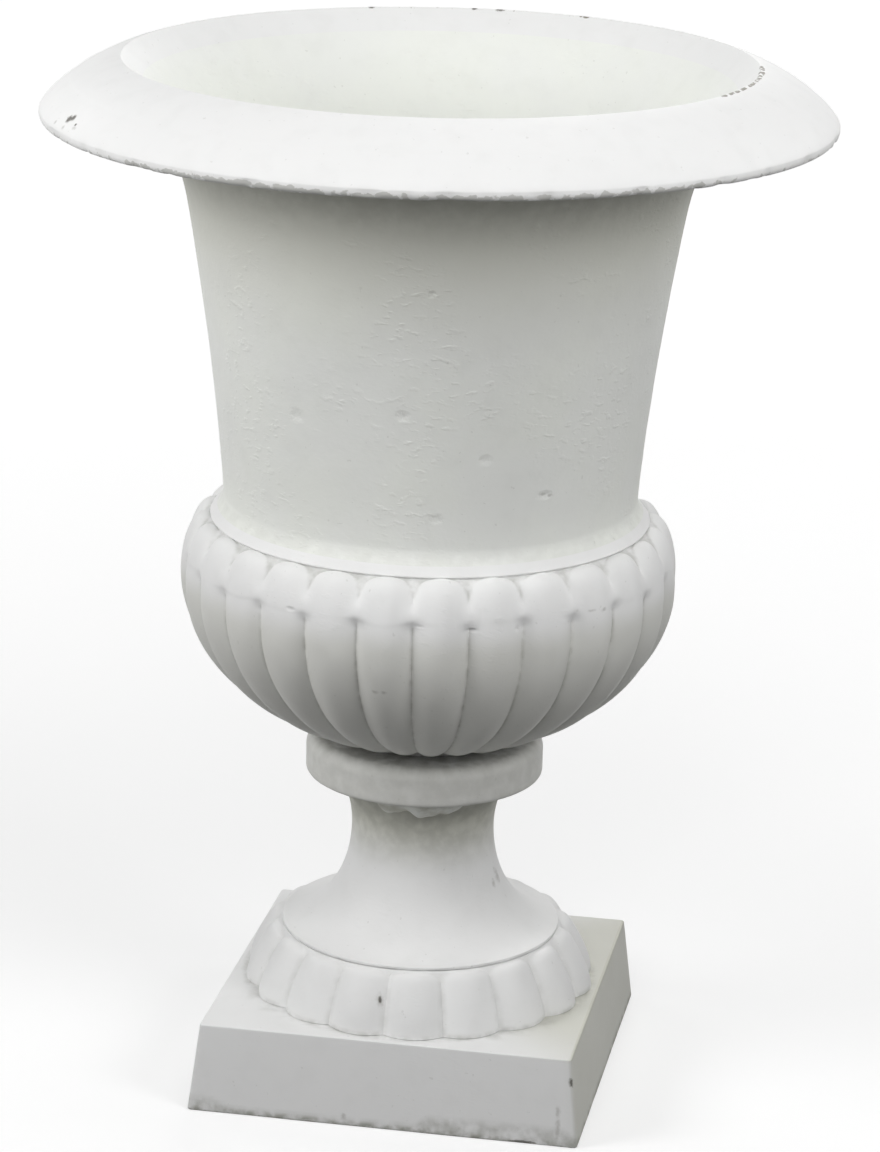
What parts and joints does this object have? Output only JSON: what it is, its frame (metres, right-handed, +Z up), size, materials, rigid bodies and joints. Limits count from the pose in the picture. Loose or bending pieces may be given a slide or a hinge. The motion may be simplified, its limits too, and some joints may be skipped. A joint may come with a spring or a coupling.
{
  "type": "garden urn planter",
  "caption": "Campana garden urn with a square plinth, lobed foot ring, trumpet socle, lobed bowl, flared bell and rolled rim, open at the top to hold soil and a plant.",
  "frame": {"origin": "centre of the plinth's underside, on the ground", "axes": "+Z up along the urn's axis; -Y out of the plinth's front face, which shows the sag of filler under the collar; +X to the right seen from the front"},
  "size_m": [0.5, 0.5, 0.672],
  "materials": {
    "white_paint": "weathered matt white paint on rough cast iron",
    "joint_filler": "lumpy putty, painted over",
    "zinc_steel": "dull zinc plating with a little rust"
  },
  "bodies": {
    "root": {"plinth": "white_paint", "foot_ring": "white_paint", "socle": "white_paint", "collar": "white_paint", "collar_filler": "joint_filler", "gadroon_bowl": "white_paint", "bell": "white_paint", "rim": "white_paint", "tie_rod": "zinc_steel", "tie_rod_top_nut": "zinc_steel", "tie_rod_top_washer": "zinc_steel", "tie_rod_bottom_nut": "zinc_steel", "tie_rod_bottom_washer": "zinc_steel", "flange_bolts": "zinc_steel", "flange_nuts": "zinc_steel", "flange_washers": "zinc_steel", "rim_screws": "zinc_steel", "rim_screw_washers": "zinc_steel"}
  },
  "joints": []
}
